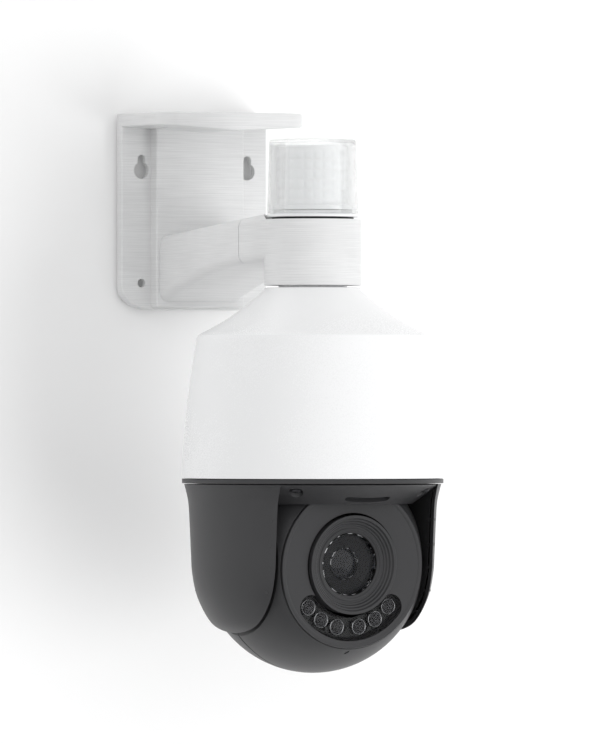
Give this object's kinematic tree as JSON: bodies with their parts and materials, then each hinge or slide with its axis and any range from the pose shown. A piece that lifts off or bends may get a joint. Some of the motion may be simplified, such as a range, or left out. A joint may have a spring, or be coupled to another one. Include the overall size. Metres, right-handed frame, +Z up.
{
  "type": "ptz camera",
  "caption": "Pan and tilt camera hung from a wall bracket, with a white domed head, a dark yoke and camera ball, and a clear alarm light on top.",
  "frame": {"origin": "centre of the wall bracket's flat back face", "axes": "+Y into the wall, +Z up and parallel to the pan axis, +X to the right of someone who faces the wall; the head hangs out along -Y"},
  "size_m": [0.1374, 0.1972, 0.2957],
  "materials": {
    "cast_white": "satin off-white enamel on cast aluminium, with a faint brushed grain",
    "shell_white": "near-white moulded plastic, semi-gloss",
    "clear_plastic": "clear moulded polycarbonate, polished outside, with a prism grid on the inner lens",
    "graphite_plastic": "dark grey moulded plastic, soft satin",
    "black_plastic": "black moulded plastic",
    "infrared_window": "dark tinted polycarbonate that lets infrared through, polished",
    "lens_glass": "coated optical glass, deep blue-black reflections",
    "lamp_resin": "clear resin lamp domes over bright cups",
    "circuit_board": "green solder mask",
    "zinc_steel": "zinc-plated steel",
    "black_steel": "black-oxide steel",
    "cast_aluminium": "bare die-cast aluminium",
    "brass": "turned brass",
    "black_rubber": "black moulded rubber"
  },
  "bodies": {
    "head": {"wall_bracket": "cast_white", "cable_grommet": "black_rubber", "neck_collar": "cast_white", "neck_tube": "zinc_steel", "neck_nut": "zinc_steel", "beacon_seal": "black_rubber", "beacon_base": "shell_white", "beacon_board": "circuit_board", "beacon_lens": "clear_plastic", "beacon_cover": "clear_plastic", "upper_shell": "shell_white", "trim_ring": "graphite_plastic", "main_board": "circuit_board", "pan_chassis": "cast_aluminium", "pan_bearing": "zinc_steel", "motor_plate": "zinc_steel", "pan_motor": "zinc_steel", "pan_belt": "black_rubber"},
    "pan_spindle": {"pan_motor_pulley": "brass"},
    "yoke": {"yoke_frame": "graphite_plastic", "speaker": "black_plastic", "pan_shaft": "cast_aluminium", "pan_pulley": "black_plastic", "slip_ring": "black_plastic", "cheek_left": "graphite_plastic", "cheek_right": "graphite_plastic", "cheek_plate_left": "graphite_plastic", "cheek_plate_right": "graphite_plastic", "tilt_bearing_left": "zinc_steel", "tilt_bearing_right": "zinc_steel", "driver_board": "circuit_board", "tilt_motor": "zinc_steel", "tilt_belt": "black_rubber", "yoke_screw_1": "black_steel", "yoke_screw_2": "black_steel", "yoke_screw_3": "black_steel", "yoke_screw_4": "black_steel"},
    "tilt_spindle": {"tilt_motor_pulley": "brass"},
    "ball": {"ball_front": "graphite_plastic", "ball_rear": "graphite_plastic", "microphone": "black_plastic", "tilt_shaft_left": "zinc_steel", "tilt_shaft_right": "zinc_steel", "tilt_pulley": "black_plastic", "face_disc": "graphite_plastic", "ir_window": "infrared_window", "led_board": "circuit_board", "lens_ring": "graphite_plastic", "front_glass": "lens_glass", "lens_barrel": "black_plastic", "sensor_board": "circuit_board", "ir_led_1": "lamp_resin", "ir_led_2": "lamp_resin", "ir_led_3": "lamp_resin", "ir_led_4": "lamp_resin", "ir_led_5": "lamp_resin", "ir_led_6": "lamp_resin"},
    "zoom_cell": {"zoom_group": "lens_glass"},
    "focus_cell": {"focus_group": "lens_glass"}
  },
  "joints": [
    {"name": "pan", "type": "hinge", "parent": "head", "child": "yoke", "pos_m": [0, -0.1285, 0], "axis": [0, 0, 1], "range_deg": [-172, 172]},
    {"name": "tilt", "type": "hinge", "parent": "yoke", "child": "ball", "pos_m": [0, -0.1285, -0.1853], "axis": [1, 0, 0], "range_deg": [-18, 87]},
    {"name": "pan_motor_spin", "type": "hinge", "parent": "head", "child": "pan_spindle", "pos_m": [0, -0.0885, 0], "axis": [0, 0, 1], "range_deg": [-700, 700]},
    {"name": "tilt_motor_spin", "type": "hinge", "parent": "yoke", "child": "tilt_spindle", "pos_m": [0, -0.1285, -0.158], "axis": [1, 0, 0], "range_deg": [-56, 264]},
    {"name": "zoom", "type": "slide", "parent": "ball", "child": "zoom_cell", "axis": [0, -0.9986, -0.0523], "range_m": [-0.008, 0]},
    {"name": "focus", "type": "slide", "parent": "ball", "child": "focus_cell", "axis": [0, -0.9986, -0.0523], "range_m": [-0.0025, 0.0015]}
  ],
  "couplings": [
    {"joint": "pan_motor_spin", "follows": "pan", "ratio": 4},
    {"joint": "tilt_motor_spin", "follows": "tilt", "ratio": 3}
  ]
}
